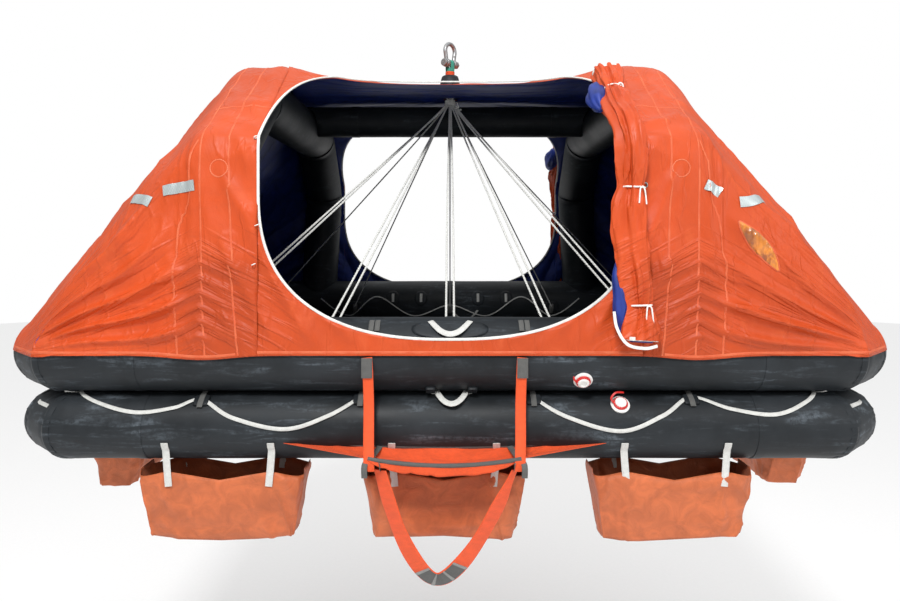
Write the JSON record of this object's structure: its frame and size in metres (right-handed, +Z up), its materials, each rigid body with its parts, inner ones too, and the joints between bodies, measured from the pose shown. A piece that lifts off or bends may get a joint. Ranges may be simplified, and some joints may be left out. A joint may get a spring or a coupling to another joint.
{
  "type": "davit-launched life raft",
  "caption": "Inflatable rectangular life raft with canopy, door openings, water pockets, boarding ramp and a rope lifting bridle under a bow shackle.",
  "frame": {"origin": "inside of the shackle's crown, where the davit's hook bears", "axes": "+Z up, +X along the raft's length, -Y towards the boarding ramp's side"},
  "size_m": [3.9218, 3.2569, 2.6206],
  "materials": {
    "tube_rubber": "matt rubberised cloth, scuffed",
    "canopy_cloth": "coated orange cloth, blue inside",
    "pocket_cloth": "thin coated cloth",
    "orange_webbing": "woven webbing",
    "white_rope": "laid rope",
    "green_sling": "woven sling",
    "orange_binding": "wrapped tape",
    "galvanised_steel": "hot-dip galvanised",
    "painted_cylinder": "satin paint",
    "valve_brass": "turned",
    "valve_plastic": "moulded"
  },
  "bodies": {
    "shackle": {"shackle_bow": "galvanised_steel", "shackle_pin": "galvanised_steel"},
    "raft": {"upper_tube": "tube_rubber", "lower_tube": "tube_rubber", "floor": "tube_rubber", "arch_left": "tube_rubber", "arch_right": "tube_rubber", "ridge_tube": "tube_rubber", "tow_patch_left": "tube_rubber", "tow_patch_right": "tube_rubber", "bridle_collar": "tube_rubber", "canopy_left_near_wall": "canopy_cloth", "canopy_left_near_shoulder": "canopy_cloth", "canopy_left_top": "canopy_cloth", "canopy_left_far_shoulder": "canopy_cloth", "canopy_left_far_wall": "canopy_cloth", "canopy_left_near": "canopy_cloth", "canopy_left_end": "canopy_cloth", "canopy_left_far": "canopy_cloth", "canopy_right_near_wall": "canopy_cloth", "canopy_right_near_shoulder": "canopy_cloth", "canopy_right_top": "canopy_cloth", "canopy_right_far_shoulder": "canopy_cloth", "canopy_right_far_wall": "canopy_cloth", "canopy_right_near": "canopy_cloth", "canopy_right_end": "canopy_cloth", "canopy_right_far": "canopy_cloth", "canopy_near": "canopy_cloth", "canopy_far": "canopy_cloth", "canopy_roof_near": "canopy_cloth", "canopy_roof": "canopy_cloth", "canopy_roof_far": "canopy_cloth", "door_roll_near": "canopy_cloth", "door_roll_far": "canopy_cloth", "boarding_ramp": "canopy_cloth", "pocket_near_1": "pocket_cloth", "pocket_near_2": "pocket_cloth", "pocket_near_3": "pocket_cloth", "pocket_far_1": "pocket_cloth", "pocket_far_2": "pocket_cloth", "pocket_far_3": "pocket_cloth", "pocket_left_1": "pocket_cloth", "pocket_left_2": "pocket_cloth", "pocket_right_1": "pocket_cloth", "pocket_right_2": "pocket_cloth", "ramp_strap_left": "orange_webbing", "ramp_strap_right": "orange_webbing", "bridle": "white_rope", "sling_eye": "green_sling", "sling_binding": "orange_binding", "gas_cylinder": "painted_cylinder", "cylinder_valve": "valve_brass", "valve_upper": "valve_plastic", "valve_lower": "valve_plastic"},
    "step": {"step_loop": "orange_webbing"}
  },
  "joints": [
    {"name": "raft_swing", "type": "hinge", "parent": "shackle", "child": "raft", "pos_m": [0, 0, -0.11], "axis": [0.6293, 0.7771, 0], "range_deg": [-30, 30]},
    {"name": "step_swing", "type": "hinge", "parent": "raft", "child": "step", "pos_m": [0, -1.6, -2.149], "axis": [1, 0, 0], "range_deg": [-80, 5]}
  ]
}
